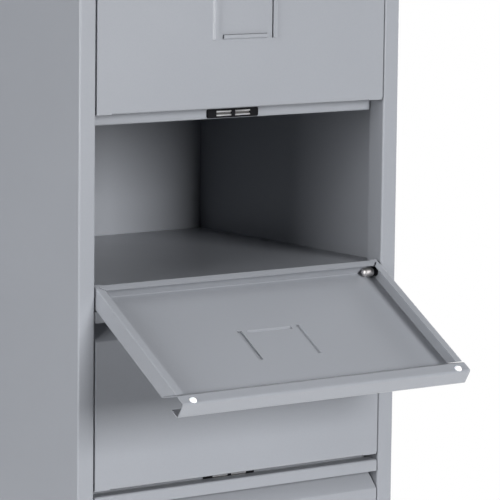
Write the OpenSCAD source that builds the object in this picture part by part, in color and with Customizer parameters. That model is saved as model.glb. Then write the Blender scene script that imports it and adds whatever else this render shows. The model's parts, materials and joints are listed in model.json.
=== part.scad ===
// Column locker for parcels: a folded sheet-steel cabinet with a stack of
// drop-down flaps. Each flap turns on two pins at its lower corners and is
// held shut by a magnet catch on the rail above it. The origin is the centre
// of the footprint on the floor: x to the right, y towards the back, z up.

/* [Cabinet] */
// Overall width
cabinet_w = 400; // [320:5:600]
// Overall depth, front face to back face
cabinet_d = 348; // [260:1:500]
// Thickness of the painted sheet steel
sheet = 1; // [0.8:0.1:1.2]
// Height of the lowest flap's bottom edge above the floor
first_flap_z = 100; // [100:1:160]
// Height of the fascia above the top flap's opening
fascia_h = 37; // [25:1:80]
// Width of each rear edge folded in behind the back panel
back_flange_w = 22; // [15:1:40]

/* [Compartments] */
// Number of compartments and flaps
flap_count = 9; // [5:1:9]
// Height from one flap's bottom edge to the next one's
flap_pitch = 187; // [160:1:260]
// Width of each front stile, up to the opening
stile_w = 19.25; // [15:0.25:40]
// Depth of the return behind each stile's face
stile_return_d = 22.5; // [22:0.5:40]
// Set-back of the rails from the front face
rail_y = 21; // [20.5:0.5:25]
// Reach of a rail below the flap edge that hides it
rail_drop = 12.5; // [12:0.5:20]
// Height of a compartment's floor above its flap's bottom edge
floor_rise = 14.5; // [13:0.5:25]
// Gap between the ends of a rail and the stiles
rail_end_gap = 2; // [0.5:0.25:4]

/* [Flaps] */
// Gap between one flap's top and the next one's bottom
flap_gap = 6; // [5:0.1:10]
// Gap between a flap's side and the stile
flap_side_gap = 1.5; // [1.2:0.1:3]
// Depth of the folded pan
flap_depth = 18; // [15:0.5:20]
// Width of the inward returns round the pan
flap_return = 9; // [6:0.5:11]
// Height of the hanging lip
lip_h = 12.2; // [8:0.2:14]
// Height of the finger groove with the lip
groove_h = 31; // [28:0.5:45]
// Height of the set-back band behind the lip
band_h = 12.5; // [10.5:0.5:16]
// Angle of a fully open flap
open_angle = 122; // [90:1:122]
// Number of the flap that stands open, from the bottom, or 0 for none
open_flap = 5; // [0:1:9]

/* [Label holder] */
// Distance between the two side tongues, which the label slides into
label_w = 69; // [40:1:120]
// Height of the tongues' lower ends above the flap's bottom edge
label_rise = 69.3; // [40:0.1:90]
// Length of the side tongues
side_tongue_l = 44; // [20:1:50]
// Width of the side tongues
side_tongue_w = 5.2; // [4:0.1:8]
// Length of the tongue that the label stands on
foot_tongue_l = 55; // [20:1:100]
// Width of the tongue that the label stands on
foot_tongue_w = 4.4; // [4:0.1:8]
// Distance that the tongues stand proud of the flap
tongue_raise = 2.2; // [1.4:0.1:2.4]

/* [Pivots] */
// Distance of the pivot axis behind the flap's face
pivot_y = 6.2; // [6:0.1:6.6]
// Height of the pivot axis above the flap's bottom edge
pivot_z = 6; // [6:0.1:6.6]
// Diameter of the pivot pin
pin_d = 5; // [3:0.5:5.5]
// Radial clearance of the pin in its bush
pin_clearance = 0.05; // [0.03:0.01:0.1]
// Diameter of the pin's domed head
pin_head_d = 9.2; // [7:0.1:9.4]
// Length of the pin's domed head
pin_head_l = 12; // [3:0.5:14]
// Outer diameter of the bush inside the flap
bush_d = 9.6; // [8:0.1:9.8]
// Length of the bush inside the flap
bush_l = 5; // [4:0.5:8]
// Diameter of the bush's nose, which fills the hole in the flap
bush_nose_d = 7; // [6.5:0.1:7.6]

/* [Magnet catch] */
// Width of the catch's face
catch_w = 63.5; // [56:0.5:80]
// Height of the catch's face
catch_h = 9; // [8:0.5:11]
// Gap between the poles and a closed flap
catch_air = 0.3; // [0.3:0.1:0.8]
// Depth of the catch's body behind the rail
catch_body_d = 9; // [6:0.5:15]
// Width of a pole plate
pole_w = 18.5; // [10:0.5:20]
// Gap between the two pairs of pole plates
pole_gap = 5; // [2:0.5:8]
// Thickness of a pole plate
pole_t = 1.3; // [1:0.1:2]
// Thickness of the magnet between two pole plates
magnet_t = 2.6; // [1.5:0.1:3]

/* [Buffers] */
// Diameter of a buffer's dome
buffer_d = 7.9; // [6:0.1:8]
// Gap between a buffer and the rail when the flap is shut
buffer_air = 0.3; // [0.3:0.1:1]
// Diameter of a buffer's stem
buffer_stem_d = 3.5; // [2.5:0.5:4]
// Distance of a buffer from the flap's side edge
buffer_inset = 13.7; // [8:0.1:40]
// Distance of a buffer from the flap's top edge
buffer_drop = 4.4; // [4.4:0.1:6]

/* [Feet] */
// Height of the sheet metal above the floor
foot_h = 10; // [9:1:25]
// Diameter of a foot pad
foot_d = 28; // [20:1:40]
// Diameter of a foot's screw
foot_stem_d = 8; // [6:1:10]

/* [Wall fixing] */
// Distance across between the fixing holes in the back panel
wall_hole_x = 280; // [150:5:300]
// Number of compartments between the lower and the upper pair of holes
wall_hole_rows = 7; // [2:1:7]
// Diameter of a fixing hole
wall_hole_d = 7; // [5:0.5:10]

/* [Hidden] */
fit_clearance = 0.05; // round parts pushed through holes in sheet
slip_clearance = 0.4; // catches and brackets in their slots
weld_gap = 0.1; // tray flanges against the cabinet's walls
bend_r = 0.8; // inside radius of a bend
lip_bend_r = 1.5; // inside radius of the bends along a flap's top edge
bend_steps = 6; // facets round one bend
mitre_gap = 1.5; // slot between two returns at a flap's corner
flange_gap = 0.6; // between a flap's side flanges and its other walls
lance_gap = 0.3; // cut round a tongue's free edges
tongue_ramp = 1.2; // width of a tongue's sloping root
rivet_d = 8; // rivet heads on the back flanges
rivet_rise = 2; // height of a rivet's dome
bracket = 40; // side of a foot bracket
bracket_t = 2.5; // thickness of a foot bracket
nut_h = 5; // height of a foot's nut
pin_dome = 2.5; // height of the dome on a pin's head
pad_h = 6; // height of a foot's pad
catch_corner_r = 1.8; // rounded corners of the catch's face
catch_wall = 0.6; // plastic round the pole plates, where the body passes through the rail

half_w = cabinet_w / 2;
inner_x = half_w - stile_w; // inner face of the stile's return
top_z = first_flap_z + flap_count * flap_pitch; // lower edge of the fascia
cabinet_h = top_z + fascia_h;
flap_w = 2 * (inner_x - flap_side_gap);
flap_h = flap_pitch - flap_gap;
groove_z = flap_h - groove_h; // where the flap's face ends
band_z = flap_h - band_h; // where the set-back band starts
bush_end_x = flap_w / 2 - sheet - bush_l;
catch_proud = rail_y - flap_depth - catch_air; // poles ahead of the rail
catch_z = flap_pitch - rail_drop + catch_h / 2 + 1; // above its own flap
catch_body_w = 2 * pole_w + pole_gap + 2 * (weld_gap + catch_wall);
catch_body_h = 2 * pole_t + magnet_t + 2 * (weld_gap + catch_wall);
shelf_back_y = cabinet_d - 2 * sheet - weld_gap;
buffer_h = rail_y - flap_depth - buffer_air;
paint = [0.66, 0.68, 0.71];
steel = [0.80, 0.80, 0.82];
black = [0.08, 0.08, 0.09];

FLAPS = [1 : flap_count];

// ---- Sheet metal outlines ----

function unit(v) = v / norm(v);
function left_of(v) = [-v[1], v[0]];
function turned(v, a) = [v[0] * cos(a) - v[1] * sin(a), v[0] * sin(a) + v[1] * cos(a)];

// Points round one bend, on one side of the sheet (side is 1 for left, -1 for right)
function bend_points(from, at, to, r, side) =
    let (a = unit(at - from), b = unit(to - at))
    let (turn = atan2(a[0] * b[1] - a[1] * b[0], a * b), way = sign(turn))
    let (mid_r = r + sheet / 2, centre = at - a * mid_r * tan(abs(turn) / 2) + left_of(a) * way * mid_r)
    [for (i = [0 : bend_steps])
        centre - turned(left_of(a) * way * (mid_r - way * side * sheet / 2), turn * i / bend_steps)];

// One side of a sheet that follows the corners of path, with rounded bends
function sheet_side(path, r, side) =
    let (last = len(path) - 1)
    let (start = left_of(unit(path[1] - path[0])), end = left_of(unit(path[last] - path[last - 1])))
    concat(
        [path[0] + start * side * sheet / 2],
        [for (i = [1 : last - 1]) each bend_points(path[i - 1], path[i], path[i + 1], r, side)],
        [path[last] + end * side * sheet / 2]
    );

function reversed(points) = [for (i = [len(points) - 1 : -1 : 0]) points[i]];

// Section through a bent sheet whose middle follows path
module bent_sheet(path, r = bend_r) {
    polygon(concat(sheet_side(path, r, 1), reversed(sheet_side(path, r, -1))));
}

// Extrudes a y-z outline along x, about the middle
module along_x(length) {
    rotate([90, 0, 90]) linear_extrude(length, center = true) children();
}

// Extrudes an x-z outline backwards from y
module along_y(y, length) {
    translate([0, y + length, 0]) rotate([90, 0, 0]) linear_extrude(length) children();
}

// Moves a child from the front plane to the cabinet's own place
module in_cabinet(z = 0) {
    translate([0, -cabinet_d / 2, z]) children();
}

// Places a child at the bottom edge of flap k, shut or open
module at_flap(k) {
    angle = k == open_flap ? open_angle : 0;
    in_cabinet(first_flap_z + (k - 1) * flap_pitch)
        translate([0, pivot_y, pivot_z]) rotate([angle, 0, 0]) translate([0, -pivot_y, -pivot_z]) children();
}

// A child on both sides of the cabinet
module both_sides() {
    children();
    mirror([1, 0, 0]) children();
}

// A cylinder along x from x0 to x1
module x_rod(d, x0, x1) {
    translate([x0, 0, 0]) rotate([0, 90, 0]) cylinder(d = d, h = x1 - x0, $fn = 48);
}

// A rectangle about the middle with round corners
module rounded_rectangle(width, height, r) {
    square([width - 2 * r, height], center = true);
    square([width, height - 2 * r], center = true);
    for (x = [-1, 1], y = [-1, 1])
        translate([x * (width / 2 - r), y * (height / 2 - r)]) circle(r = r, $fn = 32);
}

// Half section of a low dome of diameter d and height h, to be turned round an axis
module dome_section(d, h) {
    radius = (d * d / 4 + h * h) / (2 * h);
    sweep = asin(min(1, d / 2 / radius));
    full = h > radius ? 180 - sweep : sweep;
    polygon(concat([[0, 0]], [for (i = [0 : 10]) let (a = full * (1 - i / 10))
        [radius * sin(a), h - radius + radius * cos(a)]]));
}

// ---- Cabinet ----

module right_side_sheet() {
    back_y = cabinet_d - sheet / 2;
    difference() {
        translate([0, 0, foot_h]) linear_extrude(cabinet_h - sheet - foot_h) bent_sheet([
            [inner_x + sheet / 2, stile_return_d],
            [inner_x + sheet / 2, sheet / 2],
            [half_w - sheet / 2, sheet / 2],
            [half_w - sheet / 2, back_y],
            [half_w - back_flange_w, back_y]
        ]);
        for (k = FLAPS)
            translate([0, pivot_y, first_flap_z + (k - 1) * flap_pitch + pivot_z])
                x_rod(pin_d + 2 * fit_clearance, inner_x - 1, inner_x + sheet + 1);
    }
}

module right_side_panel() {
    color(paint) in_cabinet() right_side_sheet();
}

module left_side_panel() {
    color(paint) in_cabinet() mirror([1, 0, 0]) right_side_sheet();
}

module back_panel() {
    wall_row = floor(flap_count / 2) - floor(wall_hole_rows / 2);
    low_z = first_flap_z + (wall_row - 0.5) * flap_pitch;
    back_w = cabinet_w - 2 * (sheet + bend_r + weld_gap);
    color(paint) in_cabinet() difference() {
        translate([-back_w / 2, cabinet_d - 2 * sheet, foot_h])
            cube([back_w, sheet, cabinet_h - sheet - foot_h]);
        for (side = [-1, 1], row = [0, wall_hole_rows])
            translate([side * wall_hole_x / 2, cabinet_d, low_z + row * flap_pitch])
                rotate([90, 0, 0]) cylinder(d = wall_hole_d, h = 4 * sheet, $fn = 48);
    }
}

module top_panel() {
    color(paint) in_cabinet() {
        translate([-half_w, 0, cabinet_h - sheet]) cube([cabinet_w, cabinet_d, sheet]);
        along_x(2 * inner_x) bent_sheet([
            [flap_depth, top_z + sheet / 2],
            [sheet / 2, top_z + sheet / 2],
            [sheet / 2, cabinet_h - sheet]
        ]);
    }
}

module plinth_panel() {
    color(paint) in_cabinet() along_x(2 * inner_x) bent_sheet([
        [flap_depth, foot_h + sheet / 2],
        [sheet / 2, foot_h + sheet / 2],
        [sheet / 2, first_flap_z - flap_gap - sheet / 2],
        [flap_depth, first_flap_z - flap_gap - sheet / 2]
    ], lip_bend_r);
}

// Shelf k is the floor of compartment k. Its rail carries the catch of the flap below.
module shelf(k) {
    floor_z = floor_rise - sheet / 2;
    tray_w = cabinet_w - 2 * sheet - 2 * weld_gap;
    path = [
        [rail_y + flap_return, sheet / 2 - rail_drop],
        [rail_y + sheet / 2, sheet / 2 - rail_drop],
        [rail_y + sheet / 2, floor_z],
        [shelf_back_y - sheet / 2, floor_z],
        [shelf_back_y - sheet / 2, 0]
    ];
    tray_y = stile_return_d + rail_end_gap;
    color(paint) in_cabinet(first_flap_z + (k - 1) * flap_pitch) {
        difference() {
            along_x(2 * (inner_x - rail_end_gap)) bent_sheet(path);
            if (k > 1)
                catch_slot();
        }
        intersection() {
            along_x(tray_w) bent_sheet(path);
            translate([-half_w, tray_y, 0]) cube([cabinet_w, cabinet_d, floor_rise + 1]);
        }
        both_sides() translate([tray_w / 2 - sheet, tray_y, 0])
            cube([sheet, shelf_back_y - 2 * sheet - tray_y, floor_rise - sheet / 2]);
    }
}

module catch_slot() {
    width = catch_body_w + 2 * slip_clearance;
    height = catch_body_h + 2 * slip_clearance;
    translate([-width / 2, rail_y - 1, catch_z - flap_pitch - height / 2])
        cube([width, sheet + 2, height]);
}

module foot_place() {
    edge = bracket / 2 + sheet + weld_gap;
    for (x = [-1, 1], y = [stile_return_d + bracket / 2 + 2, cabinet_d - sheet - edge])
        translate([x * (half_w - edge), y, 0]) children();
}

module foot_brackets() {
    color(paint) in_cabinet() foot_place() difference() {
        translate([-bracket / 2, -bracket / 2, foot_h + nut_h + 3]) cube([bracket, bracket, bracket_t]);
        cylinder(d = foot_stem_d + 2 * fit_clearance, h = 2 * bracket, $fn = 48);
    }
}

module levelling_feet() {
    color(black) in_cabinet() foot_place() {
        rotate_extrude($fn = 64) polygon([
            [0, 0], [foot_d / 2 - 1, 0], [foot_d / 2, 1], [foot_d / 2, pad_h - 3],
            [foot_d / 2 - 3, pad_h - 1], [foot_stem_d, pad_h], [0, pad_h]
        ]);
        translate([0, 0, pad_h - 1]) cylinder(d = foot_stem_d, h = foot_h + 30, $fn = 48);
    }
}

module foot_nuts() {
    color(steel) in_cabinet() foot_place() translate([0, 0, foot_h + 3]) difference() {
        cylinder(d = foot_stem_d * 1.85, h = nut_h, $fn = 6);
        translate([0, 0, -1]) cylinder(d = foot_stem_d + 2 * fit_clearance, h = nut_h + 2, $fn = 48);
    }
}

module back_rivets() {
    x = half_w - back_flange_w / 2 - sheet;
    color(steel) in_cabinet() both_sides() for (k = FLAPS)
        translate([x, cabinet_d, first_flap_z + (k - 1) * flap_pitch + flap_pitch / 4])
            rotate([-90, 0, 0]) rotate_extrude($fn = 32) dome_section(rivet_d, rivet_rise);
}

// ---- Pivots ----

module pivot_pins() {
    neck_x = bush_end_x - slip_clearance;
    tail = 1.5;
    color(steel) for (k = FLAPS)
        in_cabinet(first_flap_z + (k - 1) * flap_pitch) translate([0, pivot_y, pivot_z]) both_sides() {
            x_rod(pin_d, neck_x - 1, inner_x + sheet + tail / 2);
            x_rod(pin_d * 1.5, inner_x + sheet, inner_x + sheet + tail);
            translate([neck_x, 0, 0]) rotate([0, -90, 0]) rotate_extrude($fn = 48) union() {
                square([pin_head_d / 2, pin_head_l - pin_dome]);
                translate([0, pin_head_l - pin_dome]) dome_section(pin_head_d, pin_dome);
            }
        }
}

module flap_bushes(k) {
    flange_x = flap_w / 2;
    color(black) at_flap(k) translate([0, pivot_y, pivot_z]) both_sides() difference() {
        union() {
            x_rod(bush_d, bush_end_x, flange_x - sheet);
            x_rod(bush_nose_d, bush_end_x, flange_x + flap_side_gap - slip_clearance);
        }
        x_rod(pin_d + 2 * pin_clearance, bush_end_x - 1, inner_x + 1);
    }
}

// ---- Flaps ----

// Places a child at the root of each of the label holder's three tongues:
// x runs from the root to the free edge and z along the tongue
module at_side_tongues() {
    both_sides() translate([-label_w / 2 - side_tongue_w, 0, label_rise + side_tongue_l / 2]) children();
}

module at_foot_tongue() {
    translate([0, 0, label_rise]) rotate([0, -90, 0]) children();
}

// A strip pressed forward out of the face, still joined to it along its root
module tongue(length, width) {
    mid = sheet / 2;
    linear_extrude(length, center = true) bent_sheet([
        [-1, mid], [0, mid], [tongue_ramp, mid - tongue_raise], [width, mid - tongue_raise]
    ], mid);
}

// The hole that a tongue leaves in the face
module tongue_hole(length, width) {
    translate([0, -1, -length / 2 - lance_gap]) cube([width + lance_gap, sheet + 2, length + 2 * lance_gap]);
}

module flap_face() {
    mid = sheet / 2;
    along_x(flap_w) bent_sheet([
        [mid, bend_r + sheet],
        [mid, groove_z],
        [flap_depth - mid, band_z],
        [flap_depth - mid, flap_h - mid],
        [mid, flap_h - mid],
        [mid, flap_h - lip_h]
    ], lip_bend_r);
    along_x(flap_w - 2 * (sheet + flange_gap)) bent_sheet([
        [flap_depth - mid, flap_return],
        [flap_depth - mid, mid],
        [mid, mid],
        [mid, bend_r + 2 * sheet]
    ]);
}

// Side flange with its return, cut off along the slanted wall above it
module flap_side() {
    mid = sheet / 2;
    slope = (band_z - groove_z) / flap_depth;
    cut = groove_z - sheet - flange_gap;
    edge_x = flap_w / 2;
    intersection() {
        linear_extrude(flap_h) bent_sheet([
            [edge_x - flap_return, flap_depth - mid],
            [edge_x - mid, flap_depth - mid],
            [edge_x - mid, mid],
            [edge_x - 2 * flap_return, mid]
        ]);
        along_x(2 * flap_w) polygon([
            [-1, 0], [flap_depth + 1, 0],
            [flap_depth + 1, cut + slope * (flap_depth + 1)], [-1, cut - slope]
        ]);
    }
}

module flap_panel(k) {
    edge_x = flap_w / 2;
    color(paint) at_flap(k) difference() {
        union() {
            difference() {
                union() {
                    flap_face();
                    both_sides() flap_side();
                }
                at_side_tongues() tongue_hole(side_tongue_l, side_tongue_w);
                at_foot_tongue() tongue_hole(foot_tongue_l, foot_tongue_w);
            }
            at_side_tongues() tongue(side_tongue_l, side_tongue_w);
            at_foot_tongue() tongue(foot_tongue_l, foot_tongue_w);
        }
        both_sides() {
            translate([0, pivot_y, pivot_z]) x_rod(bush_nose_d + 2 * fit_clearance, edge_x - 3, edge_x + 1);
            translate([edge_x - buffer_inset, flap_depth + 1, flap_h - buffer_drop]) rotate([90, 0, 0])
                cylinder(d = buffer_stem_d + 2 * fit_clearance, h = sheet + 2, $fn = 48);
            translate([edge_x - flap_return, flap_depth - sheet / 2, flap_return]) rotate([0, -45, 0])
                cube([mitre_gap, 3 * sheet, 1.5 * flap_return], center = true);
        }
    }
}

module flap_buffers(k) {
    barb = 1.5;
    color("white") at_flap(k) both_sides()
        translate([flap_w / 2 - buffer_inset, flap_depth, flap_h - buffer_drop]) rotate([-90, 0, 0]) {
            rotate_extrude($fn = 48) dome_section(buffer_d, buffer_h);
            translate([0, 0, -sheet - barb]) {
                cylinder(d = buffer_stem_d, h = sheet + barb + 0.5, $fn = 48);
                cylinder(d1 = buffer_stem_d - 1, d2 = buffer_stem_d + 1, h = barb, $fn = 48);
            }
        }
}

// ---- Magnet catches ----

// Places a child on the rail above flap k, at the middle of its catch
module at_catch(k) {
    in_cabinet(first_flap_z + (k - 1) * flap_pitch + catch_z) translate([0, rail_y, 0]) children();
}

// The two pole pairs of a catch
module pole_pairs() {
    for (x = [-1, 1])
        translate([x * (pole_w + pole_gap) / 2, 0, 0]) children();
}

module pole_pocket(extra) {
    height = 2 * pole_t + magnet_t + 2 * extra;
    translate([-pole_w / 2 - extra, -catch_proud - 1, -height / 2])
        cube([pole_w + 2 * extra, catch_proud + catch_body_d, height]);
}

module magnet_catch(k) {
    face_y = 0.5 - catch_proud;
    color(black) at_catch(k) difference() {
        union() {
            along_y(face_y, -face_y) rounded_rectangle(catch_w, catch_h, catch_corner_r);
            translate([-catch_body_w / 2, -0.5, -catch_body_h / 2])
                cube([catch_body_w, catch_body_d + 0.5, catch_body_h]);
        }
        pole_pairs() pole_pocket(weld_gap);
    }
}

module catch_pole_plates() {
    plate_z = (magnet_t + pole_t) / 2;
    color(steel) for (k = FLAPS)
        at_catch(k) pole_pairs() for (z = [-plate_z, plate_z])
            translate([-pole_w / 2, -catch_proud, z - pole_t / 2])
                cube([pole_w, catch_proud + catch_body_d - 2, pole_t]);
}

module catch_magnets() {
    color([0.25, 0.24, 0.24]) for (k = FLAPS)
        at_catch(k) pole_pairs() translate([-pole_w / 2 + 0.5, 1 - catch_proud, -magnet_t / 2])
            cube([pole_w - 1, catch_proud + catch_body_d - 4, magnet_t]);
}

left_side_panel();
right_side_panel();
back_panel();
top_panel();
plinth_panel();
foot_brackets();
levelling_feet();
foot_nuts();
back_rivets();
pivot_pins();
catch_pole_plates();
catch_magnets();
for (k = [1 : flap_count + 1])
    shelf(k);
for (k = FLAPS) {
    magnet_catch(k);
    flap_panel(k);
    flap_buffers(k);
    flap_bushes(k);
}
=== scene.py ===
import json
import math
import bpy
from mathutils import Matrix, Vector

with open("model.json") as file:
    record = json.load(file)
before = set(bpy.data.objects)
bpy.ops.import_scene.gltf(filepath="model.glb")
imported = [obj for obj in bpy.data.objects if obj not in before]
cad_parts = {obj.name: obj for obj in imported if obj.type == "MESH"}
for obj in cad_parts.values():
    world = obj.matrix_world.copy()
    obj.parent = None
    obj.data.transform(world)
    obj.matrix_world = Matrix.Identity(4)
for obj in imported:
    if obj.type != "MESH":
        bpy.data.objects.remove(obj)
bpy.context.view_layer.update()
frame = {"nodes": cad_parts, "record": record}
nodes = frame["nodes"]

# ---- Camera: a long lens at the left of the front, slightly above the open flap ----

CAMERA_PLACE = Vector((-2.0431, -2.9027, 1.3461))
CAMERA_YAW = math.radians(36.948)
CAMERA_PITCH = math.radians(7.619)
CAMERA_ROLL = math.radians(0.657)
CAMERA_LENS = 244.6
SENSOR = 36.0


def make_camera():
    """The camera looks along yaw (from +Y towards +X) and down by pitch, then rolls."""
    ahead = Vector((math.sin(CAMERA_YAW) * math.cos(CAMERA_PITCH),
                    math.cos(CAMERA_YAW) * math.cos(CAMERA_PITCH),
                    -math.sin(CAMERA_PITCH)))
    level = Vector((math.cos(CAMERA_YAW), -math.sin(CAMERA_YAW), 0.0))
    over = level.cross(ahead)
    right = level * math.cos(CAMERA_ROLL) + over * math.sin(CAMERA_ROLL)
    up = over * math.cos(CAMERA_ROLL) - level * math.sin(CAMERA_ROLL)
    turn = Matrix((right, up, -ahead)).transposed()
    data = bpy.data.cameras.new("camera")
    data.lens = CAMERA_LENS
    data.sensor_width = SENSOR
    data.clip_end = 50.0
    camera = bpy.data.objects.new("camera", data)
    camera.matrix_world = Matrix.Translation(CAMERA_PLACE) @ turn.to_4x4()
    bpy.context.scene.collection.objects.link(camera)
    bpy.context.scene.camera = camera


# ---- Node helpers ----

class Shader:
    """A material's node tree, with the few kinds of node that the materials here use."""

    def __init__(self, name):
        self.material = bpy.data.materials.new(name)
        self.material.use_nodes = True
        self.tree = self.material.node_tree
        self.bsdf = self.tree.nodes["Principled BSDF"]
        self.place = self.tree.nodes.new("ShaderNodeTexCoord").outputs["Object"]

    def set(self, **sockets):
        """Constants on the shader's own sockets; an underscore stands for a space."""
        for name, value in sockets.items():
            self.bsdf.inputs[name.replace("_", " ")].default_value = value

    def link(self, output, name):
        self.tree.links.new(output, self.bsdf.inputs[name])

    def stretched(self, scale):
        """Object coordinates scaled by a vector, for grain that runs one way."""
        node = self.tree.nodes.new("ShaderNodeMapping")
        node.inputs["Scale"].default_value = scale
        self.tree.links.new(self.place, node.inputs["Vector"])
        return node.outputs["Vector"]

    def noise(self, scale, detail=3.0, roughness=0.5, place=None):
        """Noise from 0 to 1, mostly between 0.3 and 0.7, with about scale grains per metre."""
        node = self.tree.nodes.new("ShaderNodeTexNoise")
        node.inputs["Scale"].default_value = scale
        node.inputs["Detail"].default_value = detail
        node.inputs["Roughness"].default_value = roughness
        self.tree.links.new(place or self.place, node.inputs["Vector"])
        return node.outputs["Fac"]

    def ramp(self, factor, stops):
        """A colour ramp: stops are (position, colour)."""
        node = self.tree.nodes.new("ShaderNodeValToRGB")
        elements = node.color_ramp.elements
        while len(elements) < len(stops):
            elements.new(0.5)
        for element, (position, colour) in zip(elements, stops):
            element.position = position
            element.color = (*colour, 1.0)
        self.tree.links.new(factor, node.inputs["Fac"])
        return node.outputs["Color"]

    def span(self, factor, low, high, start=0.3, end=0.7):
        """factor from start to end becomes low to high."""
        node = self.tree.nodes.new("ShaderNodeMapRange")
        for name, value in (("From Min", start), ("From Max", end), ("To Min", low), ("To Max", high)):
            node.inputs[name].default_value = value
        self.tree.links.new(factor, node.inputs["Value"])
        return node.outputs["Result"]

    def bump(self, height, distance, strength=1.0, under=None):
        """A normal from a height of 0 to 1 that stands for distance in metres."""
        node = self.tree.nodes.new("ShaderNodeBump")
        node.inputs["Distance"].default_value = distance
        node.inputs["Strength"].default_value = strength
        self.tree.links.new(height, node.inputs["Height"])
        if under:
            self.tree.links.new(under, node.inputs["Normal"])
        return node.outputs["Normal"]

    def multiplied(self, colour, other, factor):
        """colour multiplied by other, mixed in by factor."""
        node = self.tree.nodes.new("ShaderNodeMix")
        node.data_type = "RGBA"
        node.blend_type = "MULTIPLY"
        node.inputs["Factor"].default_value = factor
        self.tree.links.new(colour, node.inputs["A"])
        self.tree.links.new(other, node.inputs["B"])
        return node.outputs["Result"]


def shade(colour, factor):
    """colour made lighter or darker by factor."""
    return tuple(min(1.0, c * factor) for c in colour)


# ---- Materials ----

PAINT = (0.262, 0.274, 0.299)


def grey_paint():
    """Satin powder coat: orange-peel ripple, fine speckle, and slow drifts of tone and gloss."""
    s = Shader("grey_paint")
    speckle = s.noise(900.0, detail=2.0)
    drift = s.noise(3.5, detail=2.0)
    tone = s.ramp(drift, [(0.0, shade(PAINT, 0.96)), (1.0, shade(PAINT, 1.04))])
    fine = s.ramp(speckle, [(0.35, (0.93, 0.93, 0.94)), (0.60, (1.0, 1.0, 1.0))])
    s.link(s.multiplied(tone, fine, 0.35), "Base Color")
    s.link(s.span(s.noise(14.0), 0.27, 0.35, start=0.0, end=1.0), "Roughness")
    ripple = s.bump(s.noise(260.0, detail=1.0), 0.00006, 0.5)
    s.link(s.bump(speckle, 0.00002, 0.4, under=ripple), "Normal")
    s.set(Specular_IOR_Level=0.45)
    return s.material


def zinc_steel():
    """Bright zinc plating with fine turned scratches and a faint warm cast."""
    s = Shader("zinc_steel")
    grain = s.noise(1400.0, detail=4.0, place=s.stretched((1.0, 0.12, 0.12)))
    s.link(s.ramp(grain, [(0.30, (0.60, 0.58, 0.57)), (0.72, (0.80, 0.78, 0.77))]), "Base Color")
    s.link(s.span(s.noise(500.0), 0.40, 0.52), "Roughness")
    s.link(s.bump(grain, 0.00002, 0.5), "Normal")
    s.set(Metallic=1.0)
    return s.material


def pole_steel():
    """Nickel-plated pole plates, ground lengthways."""
    s = Shader("pole_steel")
    grain = s.noise(2200.0, detail=3.0, place=s.stretched((0.05, 1.0, 1.0)))
    s.link(s.ramp(grain, [(0.30, (0.56, 0.56, 0.57)), (0.70, (0.72, 0.72, 0.74))]), "Base Color")
    s.link(s.span(grain, 0.28, 0.38), "Roughness")
    s.link(s.bump(grain, 0.00001, 0.6), "Normal")
    s.set(Metallic=1.0)
    return s.material


def magnet():
    """Sintered ferrite: dull, dark and granular."""
    s = Shader("magnet")
    grit = s.noise(1600.0, detail=5.0, roughness=0.7)
    s.link(s.ramp(grit, [(0.35, (0.030, 0.029, 0.030)), (0.70, (0.085, 0.082, 0.080))]), "Base Color")
    s.link(s.span(grit, 0.55, 0.75), "Roughness")
    s.link(s.bump(grit, 0.00004, 0.6), "Normal")
    return s.material


def black_plastic():
    """Moulded nylon with a fine spark-eroded grain."""
    s = Shader("black_plastic")
    grain = s.noise(1300.0, detail=3.0, roughness=0.6)
    s.link(s.ramp(grain, [(0.30, (0.0015, 0.0015, 0.0025)), (0.75, (0.004, 0.004, 0.006))]), "Base Color")
    s.link(s.span(s.noise(120.0), 0.40, 0.52), "Roughness")
    s.link(s.bump(grain, 0.00003, 0.5), "Normal")
    s.set(Specular_IOR_Level=0.12)
    return s.material


def white_plastic():
    """Soft white plastic, slightly translucent, with a faint moulded mottle."""
    s = Shader("white_plastic")
    mottle = s.noise(420.0, detail=2.0)
    s.link(s.ramp(mottle, [(0.30, (0.82, 0.83, 0.86)), (0.70, (0.90, 0.91, 0.93))]), "Base Color")
    s.link(s.span(mottle, 0.28, 0.38), "Roughness")
    s.link(s.bump(mottle, 0.00002, 0.4), "Normal")
    s.set(Subsurface_Weight=0.15, Subsurface_Scale=0.002)
    return s.material


MATERIALS = (grey_paint, zinc_steel, pole_steel, magnet, black_plastic, white_plastic)


def paint_nodes():
    """Each node gets the material that is named after its slot in the record."""
    made = {make.__name__: make() for make in MATERIALS}
    for entry in frame["record"]["subparts"]:
        mesh = nodes[entry["node"]].data
        mesh.materials.clear()
        mesh.materials.append(made[entry["material_slot"]])


# ---- Studio ----

FLOOR_RADIUS = 2.2
FLOOR_SIDES = 96
FLOOR_TONES = (0.80, 0.84)
LIGHT_AIM = Vector((0.0, -0.174, 0.9))
SURROUND_COLOUR = (0.95, 0.97, 1.0, 1.0)
SURROUND = 0.02


def make_floor():
    """A round pale floor at the height of the foot pads."""
    mesh = bpy.data.meshes.new("floor")
    turns = [2 * math.pi * i / FLOOR_SIDES for i in range(FLOOR_SIDES)]
    rim = [(FLOOR_RADIUS * math.cos(turn), FLOOR_RADIUS * math.sin(turn), 0.0) for turn in turns]
    mesh.from_pydata(rim, [], [list(range(FLOOR_SIDES))])
    floor = bpy.data.objects.new("floor", mesh)
    bpy.context.scene.collection.objects.link(floor)
    s = Shader("floor_paint")
    dark, light = FLOOR_TONES
    s.link(s.ramp(s.noise(2.0, detail=2.0), [(0.3, (dark,) * 3), (0.7, (light,) * 3)]), "Base Color")
    s.set(Roughness=0.7)
    mesh.materials.append(s.material)


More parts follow.
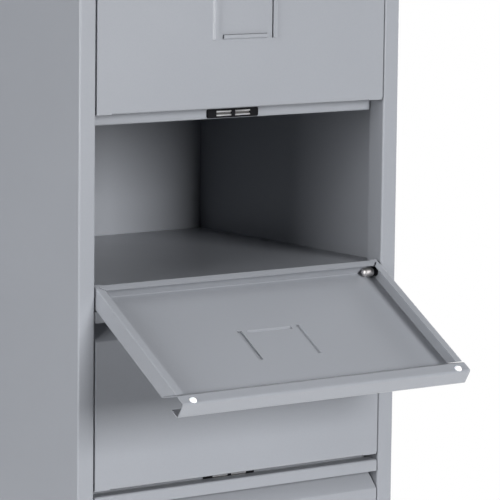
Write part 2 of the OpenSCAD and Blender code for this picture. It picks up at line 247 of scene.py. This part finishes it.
def softbox(name, azimuth, elevation, distance, size, power):
    """A rectangular light that faces LIGHT_AIM. Azimuth 0 is in front, 90 on the right.

    Angles are in degrees, distance and size in metres, power in watts.
    """
    turn, rise = math.radians(azimuth), math.radians(elevation)
    away = Vector((math.sin(turn) * math.cos(rise), -math.cos(turn) * math.cos(rise), math.sin(rise)))
    data = bpy.data.lights.new(name, "AREA")
    data.shape = "RECTANGLE"
    data.size, data.size_y = size
    data.energy = power
    light = bpy.data.objects.new(name, data)
    light.location = LIGHT_AIM + away * distance
    light.rotation_mode = "QUATERNION"
    light.rotation_quaternion = (-away).to_track_quat("-Z", "Y")
    light.visible_camera = False
    bpy.context.scene.collection.objects.link(light)


def make_world():
    """White to the camera, and a faint grey surround for everything else."""
    world = bpy.data.worlds.new("studio")
    bpy.context.scene.world = world
    world.use_nodes = True
    tree = world.node_tree
    shown = tree.nodes["Background"]
    shown.inputs["Color"].default_value = (1.0, 1.0, 1.0, 1.0)
    shown.inputs["Strength"].default_value = 1.0
    lit = tree.nodes.new("ShaderNodeBackground")
    lit.inputs["Color"].default_value = SURROUND_COLOUR
    lit.inputs["Strength"].default_value = SURROUND
    mix = tree.nodes.new("ShaderNodeMixShader")
    path = tree.nodes.new("ShaderNodeLightPath")
    tree.links.new(path.outputs["Is Camera Ray"], mix.inputs["Fac"])
    tree.links.new(lit.outputs["Background"], mix.inputs[1])
    tree.links.new(shown.outputs["Background"], mix.inputs[2])
    tree.links.new(mix.outputs["Shader"], tree.nodes["World Output"].inputs["Surface"])


def make_light():
    """A low key in front, a fill on each side, and lights over the front, behind and on top."""
    make_world()
    softbox("key", azimuth=9.4, elevation=12.0, distance=5.0, size=(1.7, 1.8), power=279.0)
    softbox("left_fill", azimuth=-80.0, elevation=12.0, distance=3.4, size=(1.7, 2.0), power=112.0)
    softbox("overhead", azimuth=0.0, elevation=68.0, distance=2.7, size=(2.0, 2.0), power=9.0)
    softbox("right_fill", azimuth=96.0, elevation=15.0, distance=3.4, size=(1.6, 2.0), power=90.0)
    softbox("back_light", azimuth=172.0, elevation=18.0, distance=3.6, size=(2.0, 2.2), power=120.0)
    softbox("top_light", azimuth=180.0, elevation=72.0, distance=2.3, size=(0.8, 0.8), power=14.0)


bpy.context.scene.view_settings.view_transform = "Standard"
make_camera()
paint_nodes()
make_floor()
make_light()
